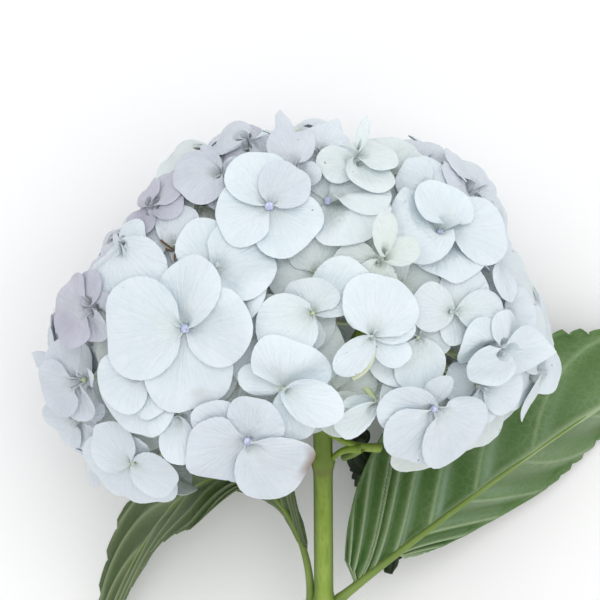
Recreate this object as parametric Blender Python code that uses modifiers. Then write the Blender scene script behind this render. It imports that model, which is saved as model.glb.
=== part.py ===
"""A cut hydrangea: one mophead bloom on its stem with three leaves, lying on a table.

Plan coordinates are millimetres. The bloom's middle stands over (0, 0), +Y runs from the cut end
of the stem towards the bloom, and +Z is up from the table. The assembly's empty shifts the plan,
so that the origin lies on the table under the middle of the whole flower.
"""

import math

import bmesh
import bpy
from mathutils import Matrix, Vector
from mathutils.geometry import interpolate_bezier

MM = 0.001

# Where the middle of the bounding box stands in the plan.
PLAN_CENTRE = Vector((26.1, -96.1, 0.1))

# The bloom: nearly a ball, flatter on top, underneath, and in front and behind.
BLOOM_MIDDLE = Vector((0.0, 0.0, 76.7))
BLOOM_RADIUS = 83.0
TOP_FLATTENING = 12.0
UNDER_FLATTENING = 20.0
DEPTH_FLATTENING = 11.0
BLOOM_LEAN = math.radians(12.0)  # its top leans to the left
BLOOM_NOD = math.radians(17.0)  # its top is raised from the table

# Florets: a lobed dish of four sepals on a stalk of its own.
SEPAL_THICKNESS = 0.9
LAYER_STEP = 3.5  # neighbours that overlap lie in different layers
LAYERS = (0, 1, -1, 2, -2, 3, -3)
DISH_CURVE_RADIUS = 80.0
DISH_SEGMENTS = 24
CLEFT_SHARE = 0.70  # how far out the clefts between sepals reach
STALK_RADIUS = 0.8
CONTACT_GAP = 0.35
LEAST_SPACING = 31.0
FILLER_RADIUS = 20.0
FILLER_LIMIT = math.radians(134.0)  # florets stop this far from the bloom's top
FILLER_TRIES = 700
FLORETS = 46

# The florets that face the front: place in the plan, radius, and the turn of the first sepal.
FRONT_FLORETS = (
    (-34, -1, 24, 85),
    (-43, 27, 19, 30),
    (-62, 6, 20, 75),
    (-68, -21, 20, 40),
    (-35, -29, 19, 60),
    (-6, 39, 20, 40),
    (26, 46, 18, 10),
    (9, 64, 18, 50),
    (51, 30, 23, 5),
    (57, 52, 18, 70),
    (72, 19, 19, 25),
    (52, 2, 19, 55),
    (25, -4, 20, 15),
    (2, 8, 19, 80),
    (1, -20, 19, 35),
    (48, -30, 21, 20),
    (71, -11, 20, 50),
    (-14, -42, 22, 10),
    (-51, -46, 23, 65),
)

# The inside of the bloom: the stem's top carries rays, and each ray's knuckle carries the stalks.
HUB = Vector((11.0, -30.0, 66.0))
HUB_RADIUS = 5.2
RAY_REACH = 0.42  # a knuckle's place between the hub and the bloom's surface
SIDE_RAYS = 6
SIDE_RAY_SLOPE = math.radians(66.0)
RAY_RADII = (2.0, 1.5)
KNUCKLE_RADIUS = 4.4

# The stem runs straight down from the hub to the cut end, which rests on the table.
CUT_END = Vector((12.0, -266.0, 3.5))
STEM_RADIUS_TOP = 3.2
STEM_RADIUS_FOOT = 3.5
STEM_STEPS = 36
STEM_NODES = ((0.08, 1.2), (0.295, 1.7), (0.72, 1.3))  # share of its length, extra radius
NODE_LENGTH = 0.016

LEAF_THICKNESS = 0.8
LEAF_ROWS = 16
LEAF_COLUMNS = 6
MIDRIB_STEPS = 12

# Each leaf: its midrib from the stem to the tip, the side its upper face looks to at each end,
# where along the midrib the blade starts, and the blade's half width and fold.
LEAVES = {
    "leaf_right": {
        "midrib": ((18.5, -97.0, 47.5), (55.0, -68.0, 45.0), (100.0, -36.0, 34.0), (142.0, -12.0, 8.0)),
        "face": ((-0.24, 0.35, -0.90), (-0.24, 0.35, -0.90)),
        "blade_from": 0.10,
        "half_width": 38.0,
        "fold": math.radians(33.0),
        "petiole_radii": (2.2, 0.8),
    },
    "leaf_left": {
        "midrib": ((3.2, -96.5, 46.5), (-20.0, -39.0, 52.0), (-46.0, -60.0, 22.0), (-76.0, -112.0, 4.5)),
        "face": ((-0.85, -0.20, 0.50), (-0.62, 0.62, 0.48)),
        "blade_from": 0.20,
        "half_width": 27.0,
        "fold": math.radians(14.0),
        "petiole_radii": (2.1, 0.8),
    },
    "leaf_back": {
        "midrib": ((16.8, -47.0, 58.0), (25.0, -38.0, 30.0), (38.0, -52.0, 18.0), (31.0, -86.0, 12.0)),
        "face": ((-0.50, 0.20, 0.84), (-0.50, 0.20, 0.84)),
        "blade_from": 0.24,
        "half_width": 15.0,
        "fold": math.radians(10.0),
        "petiole_radii": (1.3, 0.6),
    },
}

# A short side shoot at the node under the bloom.
SHOOT = ((17.2, -49.5, 64.5), (20.0, -46.0, 66.0), (23.0, -43.0, 66.5), (27.0, -43.5, 66.0))
SHOOT_RADII = (1.1, 1.7)

COLOURS = {
    "sepals": ((0.86, 0.87, 0.90, 1.0), 0.55),
    "stem_green": ((0.22, 0.34, 0.06, 1.0), 0.45),
    "ray_green": ((0.50, 0.60, 0.30, 1.0), 0.55),
    "leaf_green": ((0.09, 0.20, 0.05, 1.0), 0.50),
}

bloom_axes = Matrix.Rotation(BLOOM_NOD, 3, "X") @ Matrix.Rotation(BLOOM_LEAN, 3, "Z")


def clear_scene():
    for old in list(bpy.data.objects):
        bpy.data.objects.remove(old, do_unlink=True)


def new_collection(name):
    collection = bpy.data.collections.new(name)
    bpy.context.scene.collection.children.link(collection)
    return collection


def make_material(name):
    colour, roughness = COLOURS[name]
    material = bpy.data.materials.new(name)
    material.use_nodes = True
    shader = material.node_tree.nodes["Principled BSDF"]
    shader.inputs["Base Color"].default_value = colour
    shader.inputs["Roughness"].default_value = roughness
    shader.inputs["Metallic"].default_value = 0.0
    return material


def add_object(name, data, collection, material=None):
    """An object in the assembly, with its data in plan coordinates already turned to metres."""
    obj = bpy.data.objects.new(name, data)
    collection.objects.link(obj)
    obj.parent = assembly
    if material is not None:
        data.materials.append(material)
    return obj


def hide_helper(obj):
    obj.hide_render = True
    obj.display_type = "WIRE"


def tube(name, route, radii, collection, material, sides=8):
    """A round tube along the route, in plan millimetres, with a radius at each point."""
    curve = bpy.data.curves.new(name, "CURVE")
    curve.dimensions = "3D"
    curve.bevel_depth = MM
    curve.bevel_resolution = (sides - 4) // 2
    curve.use_fill_caps = True
    spline = curve.splines.new("POLY")
    spline.points.add(len(route) - 1)
    for point, place, radius in zip(spline.points, route, radii):
        point.co = (*(Vector(place) * MM), 1.0)
        point.radius = radius
    return add_object(name, curve, collection, material)


def as_mesh(curve_object):
    """The curve object as a closed mesh object, with its caps welded to its sides."""
    bpy.context.view_layer.update()
    graph = bpy.context.evaluated_depsgraph_get()
    mesh = bpy.data.meshes.new_from_object(curve_object.evaluated_get(graph))
    cleaned = bmesh.new()
    cleaned.from_mesh(mesh)
    bmesh.ops.remove_doubles(cleaned, verts=cleaned.verts, dist=0.01 * MM)
    cleaned.to_mesh(mesh)
    cleaned.free()
    name = curve_object.name
    collection = curve_object.users_collection[0]
    world = curve_object.matrix_world.copy()
    bpy.data.objects.remove(curve_object, do_unlink=True)
    solid = add_object(name, mesh, collection)
    solid.matrix_world = world
    return solid


def join_by_boolean(obj, helper):
    """Unites the helper with the object and leaves the helper hidden."""
    union = obj.modifiers.new("union", "BOOLEAN")
    union.operation = "UNION"
    union.solver = "EXACT"
    union.object = helper
    hide_helper(helper)


def smooth(obj):
    obj.data.shade_smooth()
    obj.data.set_sharp_from_angle(angle=math.radians(40.0))


def blend(pair, share):
    return pair[0] + (pair[1] - pair[0]) * share


# The bloom's shape


def bloom_reach(direction):
    """How far the bloom's surface lies from its middle in a direction of the plan."""
    local = bloom_axes.transposed() @ direction
    flattening = TOP_FLATTENING if local.y > 0 else UNDER_FLATTENING
    return BLOOM_RADIUS - flattening * local.y**2 - DEPTH_FLATTENING * local.z**2


def bloom_normal(direction):
    """The outward normal of the bloom's surface where the direction meets it."""
    side = direction.orthogonal().normalized()
    up = direction.cross(side)
    step = 0.01
    normal = direction.copy()
    for across in (side, up):
        ahead = bloom_reach((direction + across * step).normalized())
        behind = bloom_reach((direction - across * step).normalized())
        normal -= across * ((ahead - behind) / (2.0 * step * bloom_reach(direction)))
    return normal.normalized()


def front_direction(x, y):
    """The direction from the bloom's middle to its upper surface above a place in the plan."""
    low, high = 0.0, 1.2 * BLOOM_RADIUS
    for _ in range(24):
        height = (low + high) / 2
        ray = Vector((x, y, height))
        if ray.length < bloom_reach(ray.normalized()):
            low = height
        else:
            high = height
    return Vector((x, y, low)).normalized()


def filler_directions():
    """Evenly spread directions on a golden spiral round the bloom's axis, from its top down."""
    golden_turn = math.pi * (3.0 - math.sqrt(5.0))
    for i in range(FILLER_TRIES):
        along = 1.0 - 2.0 * (i + 0.5) / FILLER_TRIES
        across = math.sqrt(1.0 - along * along)
        turn = golden_turn * i
        local = Vector((across * math.cos(turn), along, across * math.sin(turn)))
        if math.acos(along) < FILLER_LIMIT:
            yield bloom_axes @ local


def place_florets():
    """The florets' directions, radii and turns: the front ones first, then as many as fit."""
    placed = []
    for x, y, radius, turn in FRONT_FLORETS:
        placed.append((front_direction(x, y), radius, math.radians(turn)))
    for direction in filler_directions():
        here = direction * bloom_reach(direction)
        gaps = [(here - other * bloom_reach(other)).length for other, _, _ in placed]
        if min(gaps) >= LEAST_SPACING and len(placed) < FLORETS:
            placed.append((direction, FILLER_RADIUS, 2.4 * len(placed)))
    return placed


def choose_layers(placed):
    """A layer for each floret, so that no two in one layer overlap."""
    layers = []
    for i, (direction, radius, _) in enumerate(placed):
        here = direction * bloom_reach(direction)
        taken = set()
        for (other, other_radius, _), layer in zip(placed[:i], layers):
            gap = (here - other * bloom_reach(other)).length
            if gap < radius + other_radius + 1.5:
                taken.add(layer)
        layers.append(next(layer for layer in LAYERS if layer not in taken))
    return layers


# Florets and the rays that carry them


def dish_mesh(name, radius):
    """A shallow dish with four round lobes, its middle at the origin and +Z its outer face."""
    mesh = bpy.data.meshes.new(name)
    dish = bmesh.new()
    bmesh.ops.create_circle(dish, cap_ends=True, cap_tris=True, segments=DISH_SEGMENTS, radius=0.5)
    inner_rim = [edge for edge in dish.edges if edge.is_boundary]
    widened = bmesh.ops.extrude_edge_only(dish, edges=inner_rim)
    outer_rim = [item for item in widened["geom"] if isinstance(item, bmesh.types.BMVert)]
    bmesh.ops.scale(dish, vec=(2.0, 2.0, 2.0), verts=outer_rim)
    for point in dish.verts:
        turn = math.atan2(point.co.y, point.co.x)
        lobe = CLEFT_SHARE + (1.0 - CLEFT_SHARE) * abs(math.cos(2.0 * turn)) ** 0.7
        distance = point.co.length * radius * lobe
        sag = DISH_CURVE_RADIUS - math.sqrt(DISH_CURVE_RADIUS**2 - distance**2)
        point.co = Vector((distance * math.cos(turn), distance * math.sin(turn), -sag)) * MM
    bmesh.ops.recalc_face_normals(dish, faces=dish.faces)
    if sum(face.normal.z for face in dish.faces) < 0:
        bmesh.ops.reverse_faces(dish, faces=dish.faces)
    dish.to_mesh(mesh)
    dish.free()
    return mesh


def facing(normal, turn):
    """A rotation whose Z axis is the normal, turned about it."""
    return normal.to_track_quat("Z", "Y").to_matrix() @ Matrix.Rotation(turn, 3, "Z")


def make_knuckles():
    """The far ends of the rays: one for the bloom's top and six round its sides."""
    locals_ = [Vector((0.0, 1.0, 0.0))]
    for i in range(SIDE_RAYS):
        turn = math.tau * (i + 0.5) / SIDE_RAYS
        across = math.sin(SIDE_RAY_SLOPE)
        locals_.append(Vector((across * math.cos(turn), math.cos(SIDE_RAY_SLOPE), across * math.sin(turn))))
    knuckles = []
    for local in locals_:
        direction = bloom_axes @ local
        surface = BLOOM_MIDDLE + direction * bloom_reach(direction)
        knuckles.append((direction, HUB + (surface - HUB) * RAY_REACH))
    return knuckles


def make_ray(name, knuckle):
    """A branch from the hub that ends in a round knuckle."""
    along = (knuckle - HUB).normalized()
    start = HUB + along * (HUB_RADIUS + CONTACT_GAP)
    length = (knuckle - start).length
    shares = [0.0, 0.5, 1.0 - 0.9 * KNUCKLE_RADIUS / length]
    route = [start + along * (length * share) for share in shares]
    radii = [RAY_RADII[0] + (RAY_RADII[1] - RAY_RADII[0]) * share for share in shares]
    for step in (-0.55, 0.0, 0.55, 0.95):
        route.append(knuckle + along * (KNUCKLE_RADIUS * step))
        radii.append(KNUCKLE_RADIUS * math.sqrt(1.0 - step * step))
    tube(name, route, radii, flower, materials["ray_green"])


def make_floret(name, direction, radius, turn, layer, knuckles):
    """A floret: its dish lies on the bloom, and its stalk runs in to the nearest knuckle."""
    middle = BLOOM_MIDDLE + direction * (bloom_reach(direction) + layer * LAYER_STEP)
    floret = add_object(name, dish_mesh(name, radius), flower, materials["sepals"])
    floret.rotation_euler = facing(bloom_normal(direction), turn).to_euler()
    floret.location = middle * MM
    shell = floret.modifiers.new("shell", "SOLIDIFY")
    shell.thickness = SEPAL_THICKNESS * MM
    shell.offset = 0.0
    knuckle = max(knuckles, key=lambda k: k[0].dot(direction))[1]
    inward = (middle - knuckle).normalized()
    foot = knuckle + inward * (KNUCKLE_RADIUS + CONTACT_GAP)
    stalk = tube(name + "_stalk", [foot, middle], [STALK_RADIUS] * 2, helpers, None, sides=6)
    join_by_boolean(floret, as_mesh(stalk))
    smooth(floret)


# The stem and its leaves


def make_stem():
    """The stem from the cut end to the hub, swollen where leaves or shoots leave it."""
    route, radii = [], []
    for i in range(STEM_STEPS + 1):
        share = i / STEM_STEPS  # 0 at the hub, 1 at the cut end
        radius = STEM_RADIUS_TOP + (STEM_RADIUS_FOOT - STEM_RADIUS_TOP) * share
        for place, swelling in STEM_NODES:
            radius += swelling * math.exp(-(((share - place) / NODE_LENGTH) ** 2))
        route.append(HUB + (CUT_END - HUB) * share)
        radii.append(radius)
    up = (HUB - CUT_END).normalized()
    cap_route, cap_radii = [], []
    for step in (0.9, 0.55, 0.1):
        cap_route.append(HUB + up * (HUB_RADIUS * step))
        cap_radii.append(HUB_RADIUS * math.sqrt(1.0 - step * step))
    cap_route.append(HUB - up * (HUB_RADIUS * 0.7))
    cap_radii.append(STEM_RADIUS_TOP * 1.15)
    tube("stem", cap_route + route[2:], cap_radii + radii[2:], flower, materials["stem_green"], sides=12)


def blade_mesh(name, leaf):
    """An ovate leaf blade that follows its midrib, folded a little along it."""
    bpy.ops.mesh.primitive_grid_add(x_subdivisions=LEAF_COLUMNS, y_subdivisions=LEAF_ROWS, size=2.0)
    grid = bpy.context.object
    mesh = grid.data
    bpy.data.objects.remove(grid, do_unlink=True)
    mesh.name = name
    midrib = interpolate_bezier(*(Vector(p) for p in leaf["midrib"]), 201)
    face_ends = [Vector(f) for f in leaf["face"]]
    for point in mesh.vertices:
        along = (point.co.y + 1.0) / 2.0
        across = point.co.x
        share = leaf["blade_from"] + (1.0 - leaf["blade_from"]) * along
        at = min(int(share * 200), 199)
        centre = midrib[at].lerp(midrib[at + 1], share * 200 - at)
        tangent = (midrib[at + 1] - midrib[at]).normalized()
        face = blend(face_ends, share)
        face = (face - tangent * face.dot(tangent)).normalized()
        side = face.cross(tangent)
        outline = math.sin(math.pi * (0.03 + 0.94 * along) ** 0.82) ** 0.85
        width = leaf["half_width"] * outline
        out = side * (across * math.cos(leaf["fold"])) + face * (abs(across) * math.sin(leaf["fold"]))
        point.co = (centre + out * width) * MM
    return mesh


def make_leaf(name, leaf):
    """A leaf blade with its petiole and midrib as one piece."""
    blade = add_object(name, blade_mesh(name, leaf), flower, materials["leaf_green"])
    shell = blade.modifiers.new("shell", "SOLIDIFY")
    shell.thickness = LEAF_THICKNESS * MM
    shell.offset = 0.0
    midrib = interpolate_bezier(*(Vector(p) for p in leaf["midrib"]), MIDRIB_STEPS)[:-2]
    radii = [leaf["petiole_radii"][0] + (leaf["petiole_radii"][1] - leaf["petiole_radii"][0]) * i / len(midrib)
             for i in range(len(midrib))]
    rib = tube(name + "_midrib", midrib, radii, helpers, None)
    join_by_boolean(blade, as_mesh(rib))
    smooth(blade)


clear_scene()
flower = new_collection("cut_hydrangea")
helpers = new_collection("cutters")
assembly = bpy.data.objects.new("assembly", None)
flower.objects.link(assembly)
assembly.location = -PLAN_CENTRE * MM
bpy.context.view_layer.update()
materials = {name: make_material(name) for name in COLOURS}

make_stem()
knuckle_places = make_knuckles()
for number, (_, knuckle_place) in enumerate(knuckle_places, 1):
    make_ray(f"ray_{number}", knuckle_place)
florets = place_florets()
for number, (floret, layer_number) in enumerate(zip(florets, choose_layers(florets)), 1):
    make_floret(f"floret_{number:02d}", *floret, layer_number, knuckle_places)
for leaf_name, leaf_values in LEAVES.items():
    make_leaf(leaf_name, leaf_values)
shoot_route = interpolate_bezier(*(Vector(p) for p in SHOOT), 5)
shoot_radii = [SHOOT_RADII[0]] * 4 + [SHOOT_RADII[1]]
tube("side_shoot", shoot_route, shoot_radii, flower, materials["stem_green"])
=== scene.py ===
import math
import random

import bpy
import numpy as np
from mathutils import Matrix, Vector
from mathutils.geometry import interpolate_bezier


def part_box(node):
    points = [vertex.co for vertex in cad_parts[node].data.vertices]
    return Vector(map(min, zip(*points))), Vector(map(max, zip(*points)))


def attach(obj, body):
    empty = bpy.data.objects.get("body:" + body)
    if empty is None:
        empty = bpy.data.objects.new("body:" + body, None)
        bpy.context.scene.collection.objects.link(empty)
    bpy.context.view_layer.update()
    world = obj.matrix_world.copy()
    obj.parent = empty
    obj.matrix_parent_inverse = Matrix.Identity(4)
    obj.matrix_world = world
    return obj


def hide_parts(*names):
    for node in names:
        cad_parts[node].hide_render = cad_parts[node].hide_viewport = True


# A cut mophead hydrangea lying on a pale table. Lengths are in millimetres in the plan,
# whose zero is on the table under the bloom's middle, and are turned to metres at the end.

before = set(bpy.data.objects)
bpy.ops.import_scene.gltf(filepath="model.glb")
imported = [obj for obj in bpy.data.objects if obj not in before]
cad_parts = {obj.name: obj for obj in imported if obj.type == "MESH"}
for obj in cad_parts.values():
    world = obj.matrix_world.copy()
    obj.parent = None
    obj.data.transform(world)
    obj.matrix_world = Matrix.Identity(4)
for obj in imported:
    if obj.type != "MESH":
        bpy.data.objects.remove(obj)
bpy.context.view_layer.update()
print("frame loaded:", len(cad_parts), "nodes")

mm = 0.001
planCentre = Vector((26.1, -96.1, 0.1))  # the frame's origin, seen from the bloom's foot
draws = random.Random(7)


def deselectAll():
    bpy.ops.object.select_all(action="DESELECT")


def onlySelect(piece):
    deselectAll()
    piece.select_set(True)
    bpy.context.view_layer.objects.active = piece


def toRow(points):
    return (np.asarray(points, float) - np.array(planCentre)) * mm


def readPoints(mesh):
    points = np.empty(len(mesh.vertices) * 3, np.float32)
    mesh.vertices.foreach_get("co", points)
    return points.reshape(-1, 3).astype(float)


def writePoints(mesh, points):
    mesh.vertices.foreach_set("co", np.asarray(points, np.float32).ravel())
    mesh.update()


def copyBlank(blank, name):
    piece = blank.copy()
    piece.data = blank.data.copy()
    piece.name = name
    piece.data.name = name
    bpy.context.collection.objects.link(piece)
    return piece


def thicken(piece, thickness, offset=0.0):
    onlySelect(piece)
    wall = piece.modifiers.new("wall", "SOLIDIFY")
    wall.thickness = thickness * mm
    wall.offset = offset
    bpy.ops.object.modifier_apply(modifier=wall.name)


def paint(mesh, name, values):
    layer = mesh.attributes.new(name, "FLOAT_COLOR", "POINT")
    colours = np.ones((len(mesh.vertices), 4), np.float32)
    colours[:, : values.shape[1]] = values
    layer.data.foreach_set("color", colours.ravel())


def finishPiece(piece, slotName, *nodes):
    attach(piece, "root")
    if nodes:
        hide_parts(*nodes)


def newMaterial(name, roughness, specular=0.3):
    made = bpy.data.materials.new(name)
    made.use_nodes = True
    shader = made.node_tree.nodes["Principled BSDF"]
    shader.inputs["Roughness"].default_value = roughness
    shader.inputs["Specular IOR Level"].default_value = specular
    return made, made.node_tree, shader


def addNode(tree, kind, **values):
    made = tree.nodes.new(kind)
    for key, value in values.items():
        if key in made.inputs:
            made.inputs[key].default_value = value
        else:
            setattr(made, key, value)
    return made


def mixColours(tree, factor, first, second, blend="MIX"):
    mixer = tree.nodes.new("ShaderNodeMix")
    mixer.data_type = "RGBA"
    mixer.blend_type = blend
    for socket, value in ((mixer.inputs[0], factor), (mixer.inputs[6], first), (mixer.inputs[7], second)):
        if isinstance(value, bpy.types.NodeSocket):
            tree.links.new(value, socket)
        elif isinstance(value, tuple):
            socket.default_value = (*value, 1.0)
        else:
            socket.default_value = value
    return mixer.outputs[2]


def rangeNode(tree, source, low, high, newLow=0.0, newHigh=1.0):
    mapped = tree.nodes.new("ShaderNodeMapRange")
    mapped.inputs[1].default_value = low
    mapped.inputs[2].default_value = high
    mapped.inputs[3].default_value = newLow
    mapped.inputs[4].default_value = newHigh
    tree.links.new(source, mapped.inputs[0])
    return mapped.outputs[0]


# the painted tone of each point, as three separate channels
def toneChannels(tree):
    tone = addNode(tree, "ShaderNodeAttribute", attribute_name="tone")
    parts = addNode(tree, "ShaderNodeSeparateColor")
    tree.links.new(tone.outputs["Color"], parts.inputs[0])
    return parts.outputs


def placeInObject(tree):
    return addNode(tree, "ShaderNodeTexCoord").outputs["Object"]


def placeOnGrid(tree):
    return addNode(tree, "ShaderNodeUVMap", uv_map="UVMap").outputs["UV"]


def stretched(tree, vector, scale):
    mapping = addNode(tree, "ShaderNodeMapping", Scale=scale)
    tree.links.new(vector, mapping.inputs["Vector"])
    return mapping.outputs["Vector"]


def noiseNode(tree, vector, scale, detail, roughness=0.5):
    noise = addNode(tree, "ShaderNodeTexNoise", Scale=scale, Detail=detail, Roughness=roughness)
    tree.links.new(vector, noise.inputs["Vector"])
    return noise.outputs["Fac"]


# how much light goes through under the surface, how deep in metres, and its share by colour
def letThrough(shader, weight, depth, radius=None):
    shader.inputs["Subsurface Weight"].default_value = weight
    shader.inputs["Subsurface Scale"].default_value = depth
    if radius:
        shader.inputs["Subsurface Radius"].default_value = radius


def bumpNode(tree, shader, height, strength, distance):
    bump = tree.nodes.new("ShaderNodeBump")
    bump.inputs["Strength"].default_value = strength
    bump.inputs["Distance"].default_value = distance
    tree.links.new(height, bump.inputs["Height"])
    tree.links.new(bump.outputs["Normal"], shader.inputs["Normal"])
    return bump


sepalLook = {
    "white": (0.735, 0.825, 0.872),
    # lilac: a grey lilac, the florets' own tint and also painted shade on their shaded side
    "lilac": (0.47, 0.47, 0.56),
    "cream": (0.70, 0.76, 0.62),
    "veinShade": (0.80, 0.85, 0.90),
    "speck": (0.22, 0.12, 0.06),
}


def makeSepalMaterial():
    made, tree, shader = newMaterial("sepalWhite", 0.55, 0.25)
    channels = toneChannels(tree)
    inObject = placeInObject(tree)
    veins = noiseNode(tree, stretched(tree, placeOnGrid(tree), (1.6, 30.0, 1.0)), 1.0, 3.0, 0.6)
    cloud = noiseNode(tree, inObject, 75.0, 2.0)
    spots = noiseNode(tree, inObject, 420.0, 1.0)
    wrinkles = noiseNode(tree, inObject, 260.0, 2.0)
    # channel 0 mixes in the grey lilac: partly the sepals' own tint, partly painted shade
    colour = mixColours(tree, channels[0], sepalLook["white"], sepalLook["lilac"])
    colour = mixColours(tree, channels[1], colour, sepalLook["cream"])
    clouded = rangeNode(tree, cloud, 0.35, 0.75, 0.0, 0.35)
    colour = mixColours(tree, clouded, colour, sepalLook["veinShade"])
    streaks = rangeNode(tree, veins, 0.42, 0.68, 0.0, 0.36)
    colour = mixColours(tree, streaks, colour, sepalLook["veinShade"], "MULTIPLY")
    speck = rangeNode(tree, spots, 0.80, 0.82, 0.0, 0.6)
    colour = mixColours(tree, speck, colour, sepalLook["speck"])
    colour = mixColours(tree, channels[2], colour, sepalLook["speck"])
    tree.links.new(colour, shader.inputs["Base Color"])
    height = addNode(tree, "ShaderNodeMath", operation="ADD")
    tree.links.new(veins, height.inputs[0])
    tree.links.new(wrinkles, height.inputs[1])
    bumpNode(tree, shader, height.outputs[0], 0.7, 0.0008)
    letThrough(shader, 0.15, 0.002, (1.0, 1.0, 0.95))
    return made


beadLook = {"lilac": (0.42, 0.47, 0.74), "pale": (0.70, 0.74, 0.88), "green": (0.55, 0.62, 0.36)}


def makeBeadMaterial():
    made, tree, shader = newMaterial("beadLilac", 0.45, 0.4)
    cloud = noiseNode(tree, placeInObject(tree), 900.0, 2.0)
    channels = toneChannels(tree)
    clouded = rangeNode(tree, cloud, 0.4, 0.65)
    colour = mixColours(tree, clouded, beadLook["lilac"], beadLook["pale"])
    colour = mixColours(tree, channels[0], beadLook["green"], colour)
    tree.links.new(colour, shader.inputs["Base Color"])
    letThrough(shader, 0.2, 0.001)
    return made


def makeStalkMaterial(name, pale, green):
    made, tree, shader = newMaterial(name, 0.5, 0.35)
    cloud = noiseNode(tree, placeInObject(tree), 90.0, 3.0)
    colour = mixColours(tree, rangeNode(tree, cloud, 0.35, 0.7), pale, green)
    tree.links.new(colour, shader.inputs["Base Color"])
    bumpNode(tree, shader, cloud, 0.2, 0.0004)
    return made


stemLook = {
    "green": (0.20, 0.31, 0.025),
    "light": (0.31, 0.43, 0.075),
    # shade: the dark green of the fibre streaks, also used for the painted shade on the stem's flanks and
    # under the bloom
    "shade": (0.075, 0.125, 0.010),
    "brown": (0.13, 0.075, 0.03),
    "pith": (0.62, 0.64, 0.40),
}


def makeStemMaterial():
    made, tree, shader = newMaterial("stemGreen", 0.42, 0.45)
    channels = toneChannels(tree)
    inObject = placeInObject(tree)
    fibres = noiseNode(tree, stretched(tree, inObject, (700.0, 26.0, 700.0)), 1.0, 4.0, 0.6)
    cloud = noiseNode(tree, inObject, 60.0, 3.0)
    clouded = rangeNode(tree, cloud, 0.35, 0.7)
    streaks = rangeNode(tree, fibres, 0.5, 0.75, 0.0, 0.5)
    colour = mixColours(tree, clouded, stemLook["green"], stemLook["light"])
    colour = mixColours(tree, streaks, colour, stemLook["shade"])
    # channel 2 is painted shade: the stem's flanks and its top under the bloom
    colour = mixColours(tree, channels[2], colour, stemLook["shade"])
    colour = mixColours(tree, channels[0], colour, stemLook["brown"])
    colour = mixColours(tree, channels[1], colour, stemLook["pith"])
    tree.links.new(colour, shader.inputs["Base Color"])
    bumpNode(tree, shader, fibres, 0.25, 0.0004)
    letThrough(shader, 0.1, 0.002)
    return made


def makeLeafMaterial(name, look):
    made, tree, shader = newMaterial(name, look["roughness"], 0.4)
    channels = toneChannels(tree)
    net = addNode(tree, "ShaderNodeTexVoronoi", feature="DISTANCE_TO_EDGE", Scale=1.0)
    tree.links.new(stretched(tree, placeOnGrid(tree), (26.0, 48.0, 1.0)), net.inputs["Vector"])
    cloud = noiseNode(tree, placeInObject(tree), 45.0, 4.0)
    colour = mixColours(tree, rangeNode(tree, cloud, 0.35, 0.7), look["green"], look["light"])
    fine = rangeNode(tree, net.outputs["Distance"], 0.0, 0.12, look["netStrength"], 0.0)
    colour = mixColours(tree, fine, colour, look["vein"])
    # channel 1 is painted shade: darker in the hollows between the veins and over a shaded base
    colour = mixColours(tree, channels[1], colour, look["valley"])
    # channel 2 mixes in the painted sheen beside the veins
    colour = mixColours(tree, channels[2], colour, look["sheen"])
    colour = mixColours(tree, channels[0], colour, look["vein"])
    tree.links.new(colour, shader.inputs["Base Color"])
    bumpNode(tree, shader, net.outputs["Distance"], look["netBump"], 0.0006)
    letThrough(shader, 0.12, 0.002, (0.6, 1.0, 0.3))
    return made


bloom = {
    "middle": Vector((0.0, 0.0, 76.7)),
    "radius": 83.0,
    "topFlattening": 12.0,
    "underFlattening": 20.0,
    "depthFlattening": 11.0,
    "lean": math.radians(12.0),
    "nod": math.radians(17.0),
    # shallows in the outline: the way they lie, how deep and how wide
    "shallows": (((-0.93, 0.37, 0.05), 17.0, 0.35), ((-0.70, 0.71, 0.10), 12.0, 0.35),
                 ((-0.20, 0.98, 0.05), 8.0, 0.35), ((0.35, 0.93, 0.0), 6.0, 0.35),
                 ((0.98, 0.15, 0.0), 5.0, 0.30)),
    # how far past its outline the sepals may reach, by the way they lie (degrees round from +X)
    "slack": ((-180, 5), (-174, 9), (-170, 9), (-164, 4), (-150, 4), (-135, 10), (-120, 9), (-90, 12),
              (-50, 12), (-10, 18), (-4, 18), (2, 7), (8, 4), (180, 5)),
    "drawnInOver": 14.0,
    # what keeps the drawn-in outline lobed: lobes round, depth, start, and turn with height
    "lobes": ((15, 6.5, 0.4, 0.015), (26, 4.5, 1.3, -0.04)),
    "hub": Vector((11.0, -30.0, 66.0)),
    "rayReach": 0.42,
    "sideRays": 6,
    "sideRaySlope": math.radians(66.0),
    "knuckleRadius": 4.4,
    "levelScale": 0.7,
    "sunkBy": 2.0,
    "backBelow": -0.25,
}
# the camera's height, the drop below it at which a floret's "at" is true size, and what it is over
viewing = {"height": 1600.0, "scaleDrop": 1455.0, "over": (4.3, 8.25), "lens": 264.0}
bloomAxes = Matrix.Rotation(bloom["nod"], 3, "X") @ Matrix.Rotation(bloom["lean"], 3, "Z")
bloomMiddle = np.array(bloom["middle"])


def bloomReach(direction):
    local = bloomAxes.transposed() @ direction
    flattening = bloom["topFlattening"] if local.y > 0 else bloom["underFlattening"]
    reach = bloom["radius"] - flattening * local.y**2 - bloom["depthFlattening"] * local.z**2
    for way, depth, width in bloom["shallows"]:
        reach -= depth * math.exp(-((direction.angle(Vector(way)) / width) ** 2))
    return reach


def bloomNormal(direction):
    side = direction.orthogonal().normalized()
    normal = direction.copy()
    for across in (side, direction.cross(side)):
        ahead = bloomReach((direction + across * 0.01).normalized())
        behind = bloomReach((direction - across * 0.01).normalized())
        normal -= across * ((ahead - behind) / (0.02 * bloomReach(direction)))
    return normal.normalized()


outlineAngles = np.linspace(-math.pi, math.pi, 73)
outlineReach = np.array([bloomReach(Vector((math.cos(a), math.sin(a), 0.0))) for a in outlineAngles])


# how far the points lie outside the bloom's outline, seen from above
def outsideOutline(points):
    allowed = np.interp(np.arctan2(points[:, 1], points[:, 0]), outlineAngles, outlineReach)
    return max(0.0, float((np.hypot(points[:, 0], points[:, 1]) - allowed).max()))


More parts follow.
